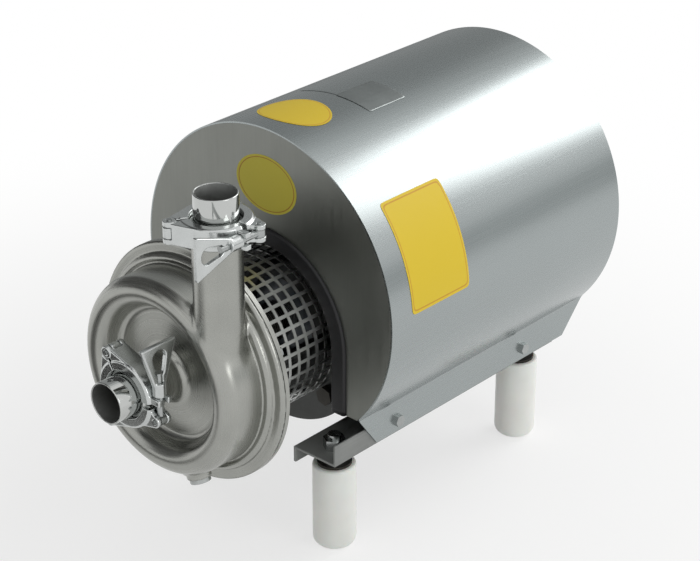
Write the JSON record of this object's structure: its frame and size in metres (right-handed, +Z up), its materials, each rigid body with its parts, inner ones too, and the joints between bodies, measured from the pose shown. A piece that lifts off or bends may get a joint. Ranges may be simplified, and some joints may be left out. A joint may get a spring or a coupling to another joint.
{
  "type": "sanitary centrifugal pump",
  "caption": "Close-coupled sanitary centrifugal pump: volute casing with clamped inlet and outlet stubs, perforated coupling guard and a hooded motor on a rail base with plastic feet.",
  "frame": {"origin": "on the floor under the shaft, midway between the inlet's mouth and the hood's rear", "axes": "+Z up, +Y along the shaft from the inlet to the motor's rear, +X to the outlet's side"},
  "size_m": [0.3, 0.524, 0.3814],
  "materials": {
    "casing_steel": "satin polished stainless steel",
    "polished_steel": "mirror polished stainless steel",
    "cast_clamp": "polished investment-cast stainless steel",
    "bright_fastener": "bright stainless fasteners",
    "machined_steel": "machined steel",
    "seal_face": "lapped seal faces",
    "black_rubber": "black moulded rubber",
    "gasket_rubber": "white gasket rubber",
    "lantern_steel": "turned steel",
    "perforated_steel": "perforated stainless sheet",
    "motor_paint": "grey-blue machine paint",
    "copper_winding": "laminated core with copper windings",
    "fan_plastic": "black moulded plastic",
    "hood_steel": "fine satin stainless sheet",
    "front_plate_steel": "dull satin stainless sheet",
    "rail_steel": "bent stainless sheet",
    "foot_plastic": "white turned polyethylene",
    "dark_washer": "dark washer"
  },
  "bodies": {
    "frame": {"volute_casing": "casing_steel", "inlet_neck": "casing_steel", "back_plate": "casing_steel", "inlet_ferrule": "polished_steel", "outlet_ferrule": "polished_steel", "inlet_middle_jaw": "cast_clamp", "outlet_middle_jaw": "cast_clamp", "casing_bolts": "bright_fastener", "drain_plug": "bright_fastener", "guard_screws": "bright_fastener", "inlet_hinge_pins": "bright_fastener", "outlet_hinge_pins": "bright_fastener", "hood_bolts": "bright_fastener", "motor_foot_bolts": "bright_fastener", "motor_flange_bolts": "bright_fastener", "foot_studs": "bright_fastener", "foot_nuts": "bright_fastener", "motor_front_bearing": "machined_steel", "motor_rear_bearing": "machined_steel", "seal_seat": "seal_face", "casing_o_ring": "black_rubber", "arch_trim": "black_rubber", "inlet_gasket": "gasket_rubber", "outlet_gasket": "gasket_rubber", "adapter_lantern": "lantern_steel", "coupling_guard": "perforated_steel", "motor_frame": "motor_paint", "motor_front_shield": "motor_paint", "motor_rear_shield": "motor_paint", "motor_fan_cowl": "motor_paint", "terminal_box": "motor_paint", "terminal_lid": "motor_paint", "motor_stator": "copper_winding", "hood_wrapper": "hood_steel", "hood_rear_plate": "hood_steel", "hood_front_plate": "front_plate_steel", "left_rail": "rail_steel", "right_rail": "rail_steel", "feet": "foot_plastic", "foot_washers": "dark_washer"},
    "rotor": {"impeller": "machined_steel", "impeller_nut": "machined_steel", "pump_shaft": "machined_steel", "seal_ring": "seal_face", "motor_rotor": "machined_steel", "motor_shaft": "machined_steel", "motor_fan": "fan_plastic"},
    "inlet_nut_jaw": {"inlet_nut_jaw": "cast_clamp"},
    "inlet_bolt_jaw": {"inlet_bolt_jaw": "cast_clamp", "inlet_bolt_pin": "bright_fastener"},
    "inlet_swing_bolt": {"inlet_swing_bolt": "bright_fastener"},
    "inlet_wing_nut": {"inlet_wing_nut": "cast_clamp"},
    "outlet_nut_jaw": {"outlet_nut_jaw": "cast_clamp"},
    "outlet_bolt_jaw": {"outlet_bolt_jaw": "cast_clamp", "outlet_bolt_pin": "bright_fastener"},
    "outlet_swing_bolt": {"outlet_swing_bolt": "bright_fastener"},
    "outlet_wing_nut": {"outlet_wing_nut": "cast_clamp"}
  },
  "joints": [
    {"name": "rotor_spin", "type": "hinge", "parent": "frame", "child": "rotor", "pos_m": [0, 0, 0.19], "axis": [0, 1, 0], "continuous": true},
    {"name": "inlet_nut_jaw_hinge", "type": "hinge", "parent": "frame", "child": "inlet_nut_jaw", "pos_m": [-0.02067, -0.2315, 0.22307], "axis": [0, -1, 0], "range_deg": [0, 5.73]},
    {"name": "inlet_bolt_jaw_hinge", "type": "hinge", "parent": "frame", "child": "inlet_bolt_jaw", "pos_m": [-0.02067, -0.2315, 0.15693], "axis": [0, 1, 0], "range_deg": [0, 5.73]},
    {"name": "inlet_bolt_swing", "type": "hinge", "parent": "inlet_bolt_jaw", "child": "inlet_swing_bolt", "pos_m": [0.034, -0.2315, 0.175], "axis": [0, 1, 0], "range_deg": [0, 75]},
    {"name": "inlet_nut_travel", "type": "slide", "parent": "inlet_swing_bolt", "child": "inlet_wing_nut", "axis": [0, 0, 1], "range_m": [0, 0.012]},
    {"name": "outlet_nut_jaw_hinge", "type": "hinge", "parent": "frame", "child": "outlet_nut_jaw", "pos_m": [0.04133, -0.21907, 0.348], "axis": [0, 0, -1], "range_deg": [0, 5.73]},
    {"name": "outlet_bolt_jaw_hinge", "type": "hinge", "parent": "frame", "child": "outlet_bolt_jaw", "pos_m": [0.04133, -0.15293, 0.348], "axis": [0, 0, 1], "range_deg": [0, 5.73]},
    {"name": "outlet_bolt_swing", "type": "hinge", "parent": "outlet_bolt_jaw", "child": "outlet_swing_bolt", "pos_m": [0.096, -0.171, 0.348], "axis": [0, 0, 1], "range_deg": [0, 75]},
    {"name": "outlet_nut_travel", "type": "slide", "parent": "outlet_swing_bolt", "child": "outlet_wing_nut", "axis": [0, -1, 0], "range_m": [0, 0.012]}
  ],
  "couplings": [
    {"joint": "inlet_nut_jaw_hinge", "follows": "inlet_nut_travel", "rad_per_m": 8.26},
    {"joint": "inlet_bolt_jaw_hinge", "follows": "inlet_nut_travel", "rad_per_m": 8.26},
    {"joint": "outlet_nut_jaw_hinge", "follows": "outlet_nut_travel", "rad_per_m": 8.26},
    {"joint": "outlet_bolt_jaw_hinge", "follows": "outlet_nut_travel", "rad_per_m": 8.26}
  ]
}
